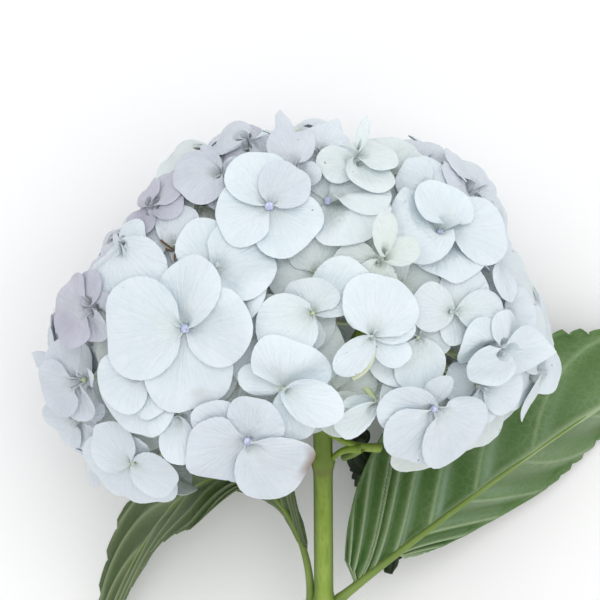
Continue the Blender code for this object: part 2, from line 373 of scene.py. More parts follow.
# draws what reaches past the bloom's outline back towards it, more the farther out it is
def drawIn(points):
    way = np.arctan2(points[:, 1], points[:, 0])
    slackWays, slacks = np.array(bloom["slack"], float).T
    most = np.interp(way, outlineAngles, outlineReach)
    most += np.interp(np.degrees(way), slackWays, slacks)
    for lobes, depth, start, turn in bloom["lobes"]:
        most += depth * (np.abs(np.sin(lobes * way / 2 + start + turn * points[:, 2])) - 0.55)
    reach = np.maximum(np.hypot(points[:, 0], points[:, 1]), 1e-6)
    over = bloom["drawnInOver"]
    start = most - over / 2
    past = np.maximum(reach - start, 0.0)
    drawn = np.where(past > 0, start + over * (1 - np.exp(-past / over)), reach)
    return points * np.stack([drawn / reach, drawn / reach, np.ones(len(points))], 1)


# the way from the bloom's middle to the point of its surface that shows at (x, y) from above
def frontDirection(x, y):
    low, high = 0.0, 100.0
    for _ in range(24):
        height = (low + high) / 2
        ray = Vector(overPoint(x, y, height))
        if ray.length < bloomReach(ray.normalized()):
            low = height
        else:
            high = height
    return Vector((x, y, low)).normalized()


# a point at this height above the bloom's middle that shows at (x, y) from the camera
def overPoint(x, y, height):
    away = (viewing["height"] - bloom["middle"].z - height) / viewing["scaleDrop"]
    overX, overY = viewing["over"]
    return overX + (x - overX) * away, overY + (y - overY) * away, height


def makeKnuckles():
    knuckles = []
    for i in range(bloom["sideRays"] + 1):
        slope = 0.0 if i == 0 else bloom["sideRaySlope"]
        turn = math.tau * (i - 0.5) / bloom["sideRays"]
        local = Vector((math.sin(slope) * math.cos(turn), math.cos(slope), math.sin(slope) * math.sin(turn)))
        direction = bloomAxes @ local
        surface = bloom["middle"] + direction * bloomReach(direction)
        knuckles.append((direction, bloom["hub"] + (surface - bloom["hub"]) * bloom["rayReach"]))
    return knuckles


# Each front floret: where its middle shows from above, how far it stands off the bloom's surface,
# how lilac and how cream it is, and its sepals from the lowest to the topmost. Its grey lilac is
# partly the floret's own tint and partly painted shade, most on the florets round the left rim.
# A sepal is the way it points as seen from above, its seen length, its width for its length, its
# rise from the floret's plane, its curl, and what else is its own: a pointed tip, more lilac, or a
# brown mark.
frontFlorets = (
    {"at": (-33.3, -1.2), "bead": 1, "level": 7, "lilac": 0.06, "calm": 0.7, "sepals": (
        (230, 19, 0.75, -4, 0), (-82, 27, 1.0, 0, -12, {"brown": "spot"}), (2, 22, 0.98, 6, -8),
        (84, 23, 0.78, 6, 0), (178, 27.5, 0.98, 3, -12))},
    {"at": (-24.5, 17.6), "level": 3, "calm": 0.6, "sepals": (
        (205, 15, 0.9, 4, 0), (-40, 20, 1.05, 0, -10), (113, 18, 0.9, 8, 0), (20, 21, 1.1, 4, -10))},
    {"at": (-53.0, 26.0), "level": 5, "lilac": 0.10, "calm": 0.8, "sepals": (
        (200, 10, 0.9, 0, 0), (20, 10, 0.9, 4, 0), (-118, 17, 0.62, 6, -22), (-76, 19, 1.0, 24, -42))},
    {"at": (-37.5, 25.5), "level": 0, "lilac": 0.35, "sepals": (
        (250, 13, 1.0, 10, 0), (345, 13, 0.9, 5, 0), (150, 18, 1.05, 12, -8), (72, 15, 0.85, 14, 0))},
    {"at": (-5.7, 38.8), "bead": 1, "level": 6, "calm": 0.7, "sepals": (
        (-46, 17.5, 1.15, 0, -8), (192, 17, 1.15, 0, -6), (111, 20.5, 0.82, 6, 0),
        (56, 17, 0.88, 10, -8, {"lilac": 0.3}))},
    {"at": (13.4, 40.5), "bead": 1, "level": 2, "cream": 0.15, "sepals": (
        (150, 15, 1.0, 0, 0), (66, 16.5, 1.05, 6, 0), (-52, 18, 1.15, -2, -8), (8, 18, 0.9, 4, -6))},
    {"at": (50.4, 30.5), "bead": 1, "level": 8, "calm": 0.9, "faceUp": 0.75, "sepals": (
        (-92, 17.5, 1.6, -3, -10), (-3, 22, 0.98, 0, -10), (183, 21, 0.95, 1, -10),
        (92, 16.5, 1.2, 4, 0))},
    {"at": (54.0, 4.2), "level": 2, "cream": 0.10, "sepals": (
        (-70, 11, 1.0, 0, 0), (59, 17, 0.8, 4, 0), (165, 13.5, 1.05, 14, 0), (2, 20, 0.62, 20, -20))},
    {"at": (70.0, 3.0), "level": -1, "lilac": 0.15, "sepals": (
        (-60, 12, 1.0, 0, 0), (100, 11, 1.0, 0, 0), (20, 13, 1.05, 4, 0), (190, 11, 0.9, 10, 0))},
    {"at": (66.0, 22.0), "level": 2, "lilac": 0.15, "sepals": (
        (180, 12, 0.9, 0, 0), (90, 12, 0.9, 6, 0), (8, 10, 1.0, 6, 0), (-82, 15, 0.75, 16, -10))},
    {"at": (65.6, -7.4), "level": 5, "sepals": (
        (160, 13, 1.0, 4, 0), (62, 13, 1.0, 10, 0), (-4, 23, 0.78, 0, 6, {"point": 0.5}),
        (258, 12, 1.1, 24, -10))},
    {"at": (62.5, -20.0), "level": 1, "sepals": (
        (170, 11, 1.0, 4, 0), (-50, 13, 0.6, 0, 0), (-82, 14, 0.7, 4, -6), (-12, 17, 0.85, 10, -10))},
    {"at": (48.2, -27.1), "bead": 1, "level": 7, "lilac": 0.18, "sepals": (
        (75, 11, 0.75, 26, 0), (180, 18.5, 0.75, 2, -6), (-112, 21, 1.15, 0, -8),
        (-46, 23, 1.0, 8, -12))},
    {"at": (29.2, -24.9), "level": -2, "cream": 0.15, "sepals": (
        (-50, 7, 0.5, 0, 0), (182, 12, 0.42, 34, 0), (216, 17.5, 0.55, 10, 6), (24, 16, 0.66, 10, 0))},
    {"at": (28.0, -3.9), "level": 5, "sepals": (
        (-36, 15, 0.62, 10, 0), (19, 15, 0.62, 14, -12), (-131, 15.5, 0.62, 18, -14),
        (79, 20, 1.05, 4, -12))},
    {"at": (43.0, -4.0), "level": 0, "cream": 0.12, "sepals": (
        (100, 13, 1.0, 0, 0), (0, 12, 0.9, 8, 0), (-135, 18, 0.85, 14, -16), (-85, 18, 0.85, 10, -8))},
    {"at": (8.5, 3.9), "level": 1, "cream": 0.10, "sepals": (
        (228, 15, 1.15, -4, 0), (44, 22, 0.7, 8, 0), (90, 13, 1.25, 24, 10), (205, 16, 1.1, 40, -40))},
    {"at": (9.5, 17.0), "level": -4, "cream": 0.30, "sepals": (
        (270, 15, 1.0, 0, 0), (180, 16, 1.0, 0, 0), (0, 16, 1.0, 0, 0), (90, 14, 1.2, 12, 0))},
    {"at": (-1.0, -21.0), "level": 2, "sepals": (
        (164, 16, 0.6, 10, -10), (-68, 18, 0.75, 4, -10), (69, 16.5, 1.4, 6, -10), (-32, 18, 0.8, 52, -20))},
    {"at": (-12.9, -37.9), "bead": 1, "level": 7, "lilac": 0.26, "sepals": (
        (262, 16, 0.9, -4, 0), (148, 19, 0.7, 4, -10), (66, 15, 1.1, 8, -6), (202, 18.5, 1.12, 4, -12),
        (-47, 25, 0.86, 4, -14, {"brown": "margin"}))},
    {"at": (-47.5, -13.9), "level": 2, "sepals": (
        (150, 13, 0.9, 4, 0), (258, 21, 1.15, -4, -6), (-84, 16, 1.05, 10, -12), (216, 17, 1.1, 12, -14))},
    {"at": (-50.6, -45.1), "level": 6, "lilac": 0.10, "sepals": (
        (70, 9, 0.8, 4, 0), (203, 19, 1.05, 0, -12), (-76, 18, 1.05, 4, -10), (-27, 16, 0.75, 14, 0),
        (145, 16.5, 0.9, 10, -12))},
    {"at": (-64.0, -43.0), "level": 1, "lilac": 0.30, "sepals": (
        (0, 12, 0.9, 0, 0), (90, 13, 0.9, 6, 0), (165, 12, 1.1, 6, 0), (240, 13, 1.0, 8, 0))},
    {"at": (-61.5, 5.6), "level": 6, "lilac": 0.9, "calm": 0.9, "faceUp": 0.7, "sepals": (
        (15, 8, 0.8, 20, 0), (262, 12, 0.9, 4, 0), (95, 12, 0.8, 6, 0), (182, 18, 1.25, 4, -10))},
    {"at": (-66.5, -18.0), "level": 4, "lilac": 0.45, "calm": 0.6, "sepals": (
        (20, 8, 0.8, 20, 0), (162, 26, 0.42, -4, 0, {"point": 0.6}), (250, 14, 1.0, 4, 0),
        (142, 16, 1.05, 6, -10), (200, 15, 1.1, 10, -10))},
    {"at": (-68.0, -31.0), "level": 1, "lilac": 0.35, "sepals": (
        (30, 9, 0.8, 20, 0), (275, 13, 1.0, 6, 0), (110, 12, 0.8, 6, 0), (200, 16, 1.0, 12, 0))},
    {"at": (-42.0, 36.5), "level": 1, "lilac": 1.0, "calm": 0.6, "sepals": (
        (220, 10, 0.9, 4, 0), (20, 11, 0.9, 4, 0), (72, 15, 0.95, 6, -10), (118, 15.5, 0.62, 20, -14))},
    {"at": (-57.0, 17.5), "level": 0, "lilac": 0.8, "calm": 0.6, "faceUp": 0.6, "sepals": (
        (250, 9, 0.9, 4, 0), (20, 10, 0.9, 4, 0), (190, 11, 0.95, 6, 0), (112, 15, 0.8, 10, -8))},
    {"at": (-21.0, 48.5), "level": 3, "lilac": 0.55, "sepals": (
        (10, 10, 0.9, 0, 0), (270, 11, 0.9, 6, 0), (160, 15, 0.8, 8, -10), (206, 14.5, 0.9, 14, -14))},
    {"at": (-12.0, 57.0), "level": 2, "lilac": 0.70, "sepals": (
        (0, 11, 0.9, 0, 0), (250, 11, 0.9, 6, 0), (110, 12, 0.9, 8, -6), (158, 16, 0.8, 8, -14))},
    {"at": (2.5, 51.0), "level": 5, "lilac": 0.35, "calm": 0.8, "sepals": (
        (-30, 9, 0.8, 0, 0), (190, 11, 0.9, 0, 0), (101, 25.5, 0.34, 6, 6, {"point": 0.6}),
        (98, 14.5, 0.95, 12, -16))},
    {"at": (11.0, 55.0), "level": 2, "lilac": 0.10, "calm": 0.7, "sepals": (
        (180, 11, 0.9, 0, 0), (-20, 12, 0.8, 4, 0), (66, 13, 0.7, 4, 0, {"point": 0.3}),
        (98, 11, 1.3, 12, -10))},
    {"at": (21.5, 53.0), "level": 3, "cream": 0.22, "sepals": (
        (200, 12, 0.9, 0, 0), (-60, 15, 0.8, 6, 0), (10, 13, 1.0, 4, 0),
        (72, 14.5, 0.36, 30, 6, {"point": 0.6}))},
    {"at": (34.0, 49.0), "level": 0, "cream": 0.25, "lilac": 0.10, "sepals": (
        (250, 15, 0.9, 6, 0), (170, 13, 0.9, 0, 0), (70, 15, 1.0, 6, -8), (10, 14, 0.9, 10, 0))},
    {"at": (45.5, 44.0), "level": 3, "sepals": (
        (0, 12, 0.9, 0, 0), (-60, 12, 0.9, 0, 0), (80, 12, 1.1, 8, -8), (142, 11, 1.05, 14, -8))},
    {"at": (58.5, 42.5), "level": 4, "lilac": 0.42, "sepals": (
        (-40, 13, 0.9, 0, 0), (180, 13, 0.9, 0, 0), (30, 12, 0.9, 6, 0), (106, 16, 0.95, 8, -12))},
    {"at": (42.5, 52.5), "level": -1, "lilac": 0.40, "sepals": (
        (-30, 12, 0.9, 0, 0), (50, 11, 0.9, 0, 0), (200, 12, 1.0, 4, 0), (115, 9, 1.2, 6, 0))},
    {"at": (37.0, 12.5), "level": -4, "cream": 0.35, "sepals": (
        (200, 15, 1.0, 0, 0), (300, 14, 1.0, 4, 0), (10, 14, 1.0, 8, 0), (95, 16, 0.55, 44, 0))},
    {"at": (30.0, 21.0), "level": -2, "cream": 0.40, "sepals": (
        (190, 15, 1.0, 0, 0), (260, 15, 0.9, 4, 0), (20, 14, 0.6, 40, 0), (85, 16, 0.5, 50, 0))},
    {"at": (-8.0, -4.0), "level": -3, "cream": 0.12, "sepals": (
        (90, 14, 1.0, 0, 0), (180, 15, 1.0, 0, 0), (-90, 17, 1.1, 2, -6), (-10, 17, 1.0, 4, -6))},
    {"at": (-35.0, -29.0), "level": 0, "lilac": 0.15, "sepals": (
        (170, 14, 1.0, 0, 0), (90, 13, 0.9, 4, 0), (-60, 17, 0.8, 24, -20), (-95, 18, 0.62, 30, 0))},
)

filler = {
    "sepalLength": (15.0, 19.5),
    "sepalWidth": (0.85, 1.15),
    "rise": (-3.0, 12.0),
    "curl": (-14.0, 0.0),
    "sharedWithin": 17.0,
    "sharedAbove": 24.0,
    "rimDepth": 6.0,
    "tries": 900,
    "innerLevel": -9.0,
    "innerRimDepth": 3.0,
    "innerRimLength": 0.75,
    "innerSpacing": 17.5,
    "innerGap": 11.5,
    "innerLimit": math.radians(132.0),
    "innerCount": 150,
}


def randomSepals():
    turn = draws.uniform(0.0, 360.0)
    made = []
    for quarter in (0, 2, 1, 3):
        angle = turn + 90.0 * quarter + draws.uniform(-9.0, 9.0)
        made.append((angle, draws.uniform(*filler["sepalLength"]), draws.uniform(*filler["sepalWidth"]),
                     draws.uniform(*filler["rise"]), draws.uniform(*filler["curl"])))
    return made


def stemShows(here):
    return -5.0 < here.x < 42.0 and here.y < -29.0 and here.z > -12.0


def surfaceAt(direction):
    return direction * bloomReach(direction)


def gapsTo(here, florets):
    return [(here - surfaceAt(floret["direction"])).length for floret in florets]


def placeFront():
    florets = []
    for known in frontFlorets:
        usual = {"bead": 0, "calm": 0.3, "lilac": 0.0, "cream": 0.0, "faceUp": 0.45}
        florets.append({**usual, **known, "direction": frontDirection(*known["at"]), "seen": True,
                        "nodes": [], "draws": random.Random(len(florets) + 1)})
    return florets


# the frame's florets: one near a front floret is shown by that one, the others get sepals of their own
def placeBack(front):
    back = []
    for name in sorted(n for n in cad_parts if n.startswith("floret_")):
        low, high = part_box(name)
        middle = (low + high) / 2 / mm + planCentre
        direction = (middle - bloom["middle"]).normalized()
        here = surfaceAt(direction)
        gaps = gapsTo(here, front)
        nearest = min(range(len(front)), key=lambda i: gaps[i])
        above = direction.z > bloom["backBelow"] and here.y > 0.0
        if gaps[nearest] < filler["sharedAbove" if above else "sharedWithin"] or stemShows(here):
            front[nearest]["nodes"].append(name)
            continue
        # more lilac towards the left and the underside: the grey lilac there is painted shade, with a random
        # share of the florets' own tint
        away = max(0.0, -direction.x * 0.6 - direction.z * 0.2 + 0.1)
        rim = max(0.0, 1.0 - abs(direction.z) / 0.45) + (0.5 if here.x < -56.0 and here.z > 0.0 else 0.0)
        back.append({"direction": direction, "seen": False,
                     "level": draws.uniform(-1.0, 4.0) - filler["rimDepth"] * rim,
                     "lilac": min(0.6, away + draws.uniform(0.0, 0.2)), "cream": 0.0, "faceUp": 0.5,
                     "nodes": [name], "sepals": randomSepals(), "draws": draws})
    return back


# smaller florets deeper in, spread evenly over what the others leave open
def placeInner(outer):
    goldenTurn = math.pi * (3.0 - math.sqrt(5.0))
    inner = []
    for i in range(filler["tries"]):
        along = 1.0 - 2.0 * (i + 0.5) / filler["tries"]
        if math.acos(along) > filler["innerLimit"] or len(inner) >= filler["innerCount"]:
            continue
        across = math.sqrt(1.0 - along * along)
        turn = goldenTurn * i
        direction = bloomAxes @ Vector((across * math.cos(turn), along, across * math.sin(turn)))
        here = surfaceAt(direction)
        bare = stemShows(here) or (here.y < -40.0 and here.z > -14.0)
        atRim = -0.2 < direction.z < 0.38 and (direction.y > 0.15 or direction.x < -0.7)
        if bare or min(gapsTo(here, outer)) <= filler["innerGap"] or (
                min(gapsTo(here, inner), default=99.0) <= filler["innerSpacing"]):
            continue
        shorter = filler["innerRimLength"] if atRim else 1.0
        sepals = [(turn, length * shorter, *rest) for turn, length, *rest in randomSepals()]
        depth = filler["innerRimDepth"] if atRim else 0.0
        # inner florets get more lilac towards the left, as painted shade
        inner.append({"direction": direction, "seen": False,
                      "level": filler["innerLevel"] + draws.uniform(-2.0, 2.0) - depth,
                      "lilac": draws.uniform(0.0, 0.15) + max(0.0, -direction.x) * 0.3,
                      "cream": draws.uniform(0.35, 0.6) * min(max(direction.z * 1.6, 0.2), 1.0),
                      "faceUp": 0.3, "nodes": [], "sepals": sepals, "draws": draws})
    return inner


def listFlorets():
    front = placeFront()
    back = placeBack(front)
    inner = placeInner(front + back)
    print("florets:", len(front), "in front,", len(back), "round the back,", len(inner), "inside")
    return front + back + inner


sepal = {
    "rows": 11,
    "columns": 24,
    "spread": math.radians(78.0),
    "thickness": 0.22,
    "fuller": 1.12,
    "gap": 0.5,
    "finerBy": 4,
    "restsAt": 0.3,
    "stalkEnd": 0.04,
    "strongCurl": 20.0,
    "ruffles": ((0.052, 3, 2.6, 4), (0.022, 4, 7, 5)),
    "groove": (0.35, 1.1),
    "pleats": (0.14, 9.0),
    "droop": 190.0,
    "pulledInMost": 9.0,
    "slidMost": 9.0,
    "liftedMost": 14.0,
    "hinge": 0.25,
}


def makeSepalBlank():
    deselectAll()
    bpy.ops.mesh.primitive_grid_add(x_subdivisions=sepal["rows"], y_subdivisions=sepal["columns"], size=1.0)
    blank = bpy.context.object
    blank.name = "sepalBlank"
    return blank


def gridOrder(blank):
    points = readPoints(blank.data)
    order = np.lexsort((points[:, 1].round(5), points[:, 0].round(5)))
    return order, points[order, 0] + 0.5, points[order, 1] * 2.0


# how one sepal differs from the next; two of its six waves are spare
def sepalNoise(floret):
    own = floret["draws"]
    lively = 1.0 - floret.get("calm", 0.0)
    return {
        "waves": [own.uniform(0.0, math.tau) for _ in range(6)],
        "notch": own.uniform(-0.8, 1.0),
        "dome": own.uniform(-0.25, 0.38) * lively,
        "squareness": own.uniform(0.0, 0.12),
        "lopsided": own.uniform(-0.07, 0.07),
        "crease": own.uniform(-0.16, 0.14) * lively,
    }


# a sepal along +X from its floret's middle: its outline first, then its bend and its small relief
def shapeSepal(u, v, spec, length, width, own):
    angle = v * sepal["spread"]
    waves = own["waves"]
    point = extras(spec).get("point", 0.0)
    roundness = max(width * sepal["fuller"], 0.3) ** -2.8
    reach = np.cos(angle) ** roundness
    reach = reach * (1.0 + 0.025 * np.sin(3 * angle + waves[0]) + 0.014 * np.sin(8 * angle + waves[1]))
    reach = reach * (1.0 + own["squareness"] * np.sin(2 * angle) ** 2 + own["lopsided"] * np.sin(angle))
    reach = reach * (1.0 - 0.045 * own["notch"] * np.exp(-((angle / 0.16) ** 2)))
    reach = reach * (1.0 + point * np.exp(-np.abs(angle) / 0.22)) / (1.0 + 0.6 * point)
    out = sepal["stalkEnd"] + (1.0 - sepal["stalkEnd"]) * u
    along = out * reach * np.cos(angle)
    across = out * reach * np.sin(angle)
    lift = math.radians(spec[3])
    bend = math.radians(spec[4]) * (1.0 if abs(spec[4]) > sepal["strongCurl"] else 2.0)
    if abs(bend) < 1e-3:
        bend = 1e-3
    lean = lift + bend * along
    x = (np.sin(lean) - math.sin(lift)) / bend * length
    z = -(np.cos(lean) - math.cos(lift)) / bend * length
    dome = -own["dome"] * across**2 * length + own["crease"] * np.sqrt(across**2 + 0.004) * length
    ruffle = sum(size * length * u**power * np.sin(times * angle + waves[wave])
                 for size, power, times, wave in sepal["ruffles"])
    deep, wide = sepal["groove"]
    groove = -deep * np.exp(-((across * length / wide) ** 2)) * u * (1.2 - u)
    high, times = sepal["pleats"]
    pleats = high * np.sin(times * angle + waves[0]) * u * np.cos(angle)
    height = dome + ruffle + groove + pleats
    return np.stack([x - np.sin(lean) * height, across * length, z + np.cos(lean) * height], 1)


# how far out the bloom already reaches, seen from a point low inside it and from one high inside it
coverCells = 150
covers = {
    "front": {"from": np.array([0.0, 0.0, -34.0]), "reach": np.zeros((coverCells,) * 3, np.float32)},
    "back": {"from": np.array([0.0, 0.0, 18.0]), "reach": np.zeros((coverCells,) * 3, np.float32)},
}
neighbours = np.array([(i, j, k) for i in (-1, 0, 1) for j in (-1, 0, 1) for k in (-1, 0, 1)])


# each point's distance from where a cover looks out, the way to it, and the cell that lies there
def seenFrom(cover, points):
    away = points - cover["from"]
    distance = np.linalg.norm(away, axis=-1)
    ways = away / distance[..., None]
    cells = np.clip(((ways + 1.0) * 0.5 * coverCells).astype(int), 1, coverCells - 2)
    return distance, ways, cells


def finer(grid):
    rows, columns = grid.shape[:2]
    k = sepal["finerBy"]
    r = np.linspace(0, rows - 1, (rows - 1) * k + 1)
    c = np.linspace(0, columns - 1, (columns - 1) * k + 1)
    r0 = np.minimum(r.astype(int), rows - 2)
    c0 = np.minimum(c.astype(int), columns - 2)
    fr = (r - r0)[:, None, None]
    fc = (c - c0)[None, :, None]
    top = grid[r0][:, c0] * (1 - fc) + grid[r0][:, c0 + 1] * fc
    low = grid[r0 + 1][:, c0] * (1 - fc) + grid[r0 + 1][:, c0 + 1] * fc
    return top * (1 - fr) + low * fr


# how much farther out a sepal has to lie to clear what is already there
def neededLift(grid, cover):
    distance, _, cells = seenFrom(cover, finer(grid))
    around = cells[..., None, :] + neighbours
    outermost = cover["reach"][around[..., 0], around[..., 1], around[..., 2]].max(-1)
    need = np.maximum(outermost + sepal["gap"] - distance, 0.0)
    rows, columns = grid.shape[:2]
    k = sepal["finerBy"]
    padded = np.pad(need, k // 2, mode="edge")
    result = np.zeros((rows, columns))
    for i in range(k + 1):
        for j in range(k + 1):
            shifted = padded[i : i + (rows - 1) * k + 1 : k, j : j + (columns - 1) * k + 1 : k]
            result = np.maximum(result, shifted)
    return result


def fourAround(values):
    p = np.pad(values, 1, mode="edge")
    return p[:-2, 1:-1] + p[2:, 1:-1] + p[1:-1, :-2] + p[1:-1, 2:]


# a smooth lift that is nowhere less than what is needed
def relax(need, rounds=24):
    lift = need.copy()
    for _ in range(rounds):
        lift = np.maximum(need, fourAround(lift) / 4)
    return (fourAround(lift) + 2 * lift) / 6


def markCovers(grid):
    points = finer(grid).reshape(-1, 3)
    for cover in covers.values():
        distance, _, cells = seenFrom(cover, points)
        np.maximum.at(cover["reach"], tuple(cells.T), distance.astype(np.float32))


def floretFrame(floret):
    direction = floret["direction"]
    normal = bloomNormal(direction)
    share = floret["faceUp"] * min(max((direction.z + 0.35) / 0.35, 0.0), 1.0)
    normal = normal.lerp(Vector((0.0, 0.0, 1.0)), share).normalized()
    if floret["seen"]:
        x = Vector((1.0, 0.0, 0.0))
        x = (x - normal * x.dot(normal)).normalized()
    else:
        x = normal.orthogonal().normalized()
    return np.array(x), np.array(normal.cross(x)), np.array(normal)


# the sepal's true heading, length and width for its length, from how it is seen
def sepalHeading(floret, spec, axes):
    angle, length, width, rise = math.radians(spec[0]), spec[1], spec[2], math.radians(spec[3])
    if not floret["seen"]:
        return angle, length, width
    seen = np.array([math.cos(angle), math.sin(angle)])
    heading = angle
    for _ in range(6):
        flat = axes[0] * math.cos(heading) + axes[1] * math.sin(heading)
        shown = (flat * math.cos(rise) + axes[2] * math.sin(rise))[:2]
        heading += math.atan2(shown[0] * seen[1] - shown[1] * seen[0], shown @ seen)
    across = np.cross(axes[2], flat)[:2]
    trueLength = min(length / max(float(np.hypot(*shown)), 0.35), max(length, 24.0))
    trueWidth = length * width / max(abs(float(across[0] * seen[1] - across[1] * seen[0])), 0.5)
    return heading, trueLength, min(max(trueWidth / trueLength, 0.34), 1.45)


def extras(spec):
    return spec[5] if len(spec) > 5 else {}


# where a sepal is bruised brown: a strip of its margin or a spot
def brownMark(spec, u, v):
    kind = extras(spec).get("brown", "")
    if kind == "margin":
        return 0.9 * np.clip((u - 0.86) / 0.08, 0, 1) * np.exp(-(((v - 0.3) / 0.22) ** 4))
    if kind == "spot":
        return 0.8 * np.exp(-(((u - 0.86) / 0.045) ** 2) - ((v - 0.04) / 0.05) ** 2)
    return np.zeros(len(u))


# a floret's sepals where they start out, before they are laid over the others
def spreadSepals(floret, axes, centre, u, v):
    shapes = []
    for spec in floret["sepals"]:
        own = sepalNoise(floret)
        heading, length, width = sepalHeading(floret, spec, axes)
        local = shapeSepal(u.ravel(), v.ravel(), spec, length, width, own)
        away = np.hypot(local[:, 0], local[:, 1])
        local[:, 2] -= away**2 / sepal["droop"]
        c, s = math.cos(heading), math.sin(heading)
        x, y = local[:, 0], local[:, 1]
        turned = np.stack([c * x - s * y, s * x + c * y, local[:, 2]], 1)
        shapes.append((turned @ np.array(axes) + centre).reshape(*u.shape, 3))
    return shapes


# a floret of the filler is pulled in as far as its sepals stand outside the bloom's outline
def pullInside(shapes, centre):
    inward = centre * (-1.0, -1.0, 0.0)
    outside = outsideOutline(np.concatenate([g.reshape(-1, 3) for g in shapes]))
    inward *= min(outside, sepal["pulledInMost"]) / max(np.linalg.norm(inward), 1.0)
    return [g + inward for g in shapes], centre + inward


def paintSepal(made, floret, spec, u, v, order):
    own = floret["draws"]
    # lilac: the floret's own tint with its painted shade, a little more towards the tip
    lilac = floret["lilac"] * (1.0 + 0.5 * (own.random() - 0.5)) + 0.06 * own.random()
    lilac = np.clip(np.clip(lilac, 0.0, 1.0) + 0.05 * (u - 0.5), 0.0, 1.0) + extras(spec).get("lilac", 0.0)
    cream = np.clip(floret["cream"] + 0.45 * ((1.0 - u) ** 2) ** 2, 0.0, 1.0)
    tone = np.zeros((len(u), 3))
    tone[order] = np.stack([lilac, cream, brownMark(spec, u, v)], 1)
    paint(made.data, "tone", tone)


def joinSepals(pieces, name, material):
    deselectAll()
    for made in pieces:
        made.select_set(True)
    whole = pieces[0]
    bpy.context.view_layer.objects.active = whole
    bpy.ops.object.join()
    whole.name = whole.data.name = name
    thicken(whole, sepal["thickness"])
    bpy.ops.object.shade_smooth_by_angle(angle=math.radians(55.0))
    whole.data.materials.append(material)
    return whole


# florets round the back first, then low ones before high ones: each sepal is lifted off what was
# laid before it, as far as its limit lets it
def buildFlorets(florets, blank, materials):
    order, u, v = gridOrder(blank)
    shapeOfGrid = (sepal["rows"] + 1, sepal["columns"] + 1)
    u, v = u.reshape(shapeOfGrid), v.reshape(shapeOfGrid)
    florets.sort(key=lambda f: (f["direction"].z > bloom["backBelow"], f["level"]))
    for number, floret in enumerate(florets, 1):
        direction = floret["direction"]
        axes = floretFrame(floret)
        cover = covers["front" if direction.z > bloom["backBelow"] else "back"]
        reach = bloomReach(direction) + bloom["levelScale"] * floret["level"] - bloom["sunkBy"]
        centre = np.array(direction) * reach
        outward = centre - cover["from"]
        outward /= np.linalg.norm(outward)
        if floret["seen"]:
            centre[:2] = overPoint(*floret["at"], centre[2])[:2]
        shapes = spreadSepals(floret, axes, centre, u, v)
        if not floret["seen"]:
            shapes, centre = pullInside(shapes, centre)
        blocked = max(float(neededLift(shape, cover)[:4].max()) for shape in shapes)
        slide = outward * min(blocked, sepal["slidMost"])
        if floret["seen"]:
            slide[:2] = overPoint(*floret["at"], centre[2] + slide[2])[:2] - centre[:2]
        floret["centre"] = drawIn((centre + slide)[None, :])[0]
        pieces = []
        for spec, shape in zip(floret["sepals"], shapes):
            shape = shape + slide
            lift = relax(neededLift(shape, cover)) * np.clip(u / sepal["hinge"], 0.0, 1.0)
            lift = np.minimum(lift, sepal["liftedMost"])
            shape = shape + seenFrom(cover, shape)[1] * lift[..., None]
            markCovers(shape)
            made = copyBlank(blank, f"floret{number}sepal{len(pieces)}")
            placed = drawIn(shape.reshape(-1, 3)) + bloomMiddle
            placed[:, 2] = np.maximum(placed[:, 2], sepal["restsAt"])
            points = np.empty_like(placed)
            points[order] = toRow(placed)
            writePoints(made.data, points)
            paintSepal(made, floret, spec, u.ravel(), v.ravel(), order)
            pieces.append(made)
        whole = joinSepals(pieces, f"bloom_{number:03d}", materials["sepal"])
        finishPiece(whole, "sepals", *floret["nodes"])
        floret["normal"] = axes[2]
        floret["name"] = whole.name
    print("sepals laid over each other")


def between(pair, share):
    return pair[0] + (pair[1] - pair[0]) * share


# a closed cylinder from z = -1 to z = 1, its long edges cut into steps
def steppedCylinder(sides, cuts):
    deselectAll()
    bpy.ops.mesh.primitive_cylinder_add(vertices=sides, radius=1.0, depth=2.0)
    made = bpy.context.object
    for part in (made.data.edges, made.data.vertices, made.data.polygons):
        for item in part:
            item.select = False
    for edge in made.data.edges:
        a, b = (made.data.vertices[i].co.z for i in edge.vertices)
        edge.select = abs(a - b) > 1.0
    bpy.ops.object.mode_set(mode="EDIT")
    bpy.ops.mesh.select_mode(type="EDGE")
    bpy.ops.mesh.subdivide(number_cuts=cuts)
    bpy.ops.object.mode_set(mode="OBJECT")
    return made


heart = {
    "stalkSides": 8,
    "stalkSteps": 8,
    "stalkRadius": (1.0, 0.75),
    "beadRadius": 1.25,
    "smallBead": 0.75,
    "beadAside": 10.0,
    "routePoints": 41,
}


# one mesh for every floret: its stalk, with the bead waiting beside it
def makeHeartBlank():
    stalk = steppedCylinder(heart["stalkSides"], heart["stalkSteps"] - 1)
    deselectAll()
    aside = (heart["beadAside"], 0.0, 0.0)
    bpy.ops.mesh.primitive_uv_sphere_add(segments=16, ring_count=10, radius=1.0, location=aside)
    bead = bpy.context.object
    onlySelect(stalk)
    bead.select_set(True)
    bpy.ops.object.join()
    bpy.ops.object.shade_smooth()
    stalk.name = "heartBlank"
    return stalk


# the stalk's points, from the branch's knuckle up to the floret's middle, flaring at its end
def stalkPoints(rest, route):
    points = []
    last = len(route) - 1
    for x, y, z in rest:
        share = (z + 1.0) / 2.0
        at = min(int(share * last), last - 1)
        place = route[at].lerp(route[at + 1], share * last - at)
        tangent = (route[at + 1] - route[at]).normalized()
        side = tangent.orthogonal().normalized()
        radius = between(heart["stalkRadius"], share)
        radius *= 1.0 + 0.5 * max(0.0, share - 0.93) / 0.07
        points.append(place + side * (x * radius) + tangent.cross(side) * (y * radius))
    return np.array(points)


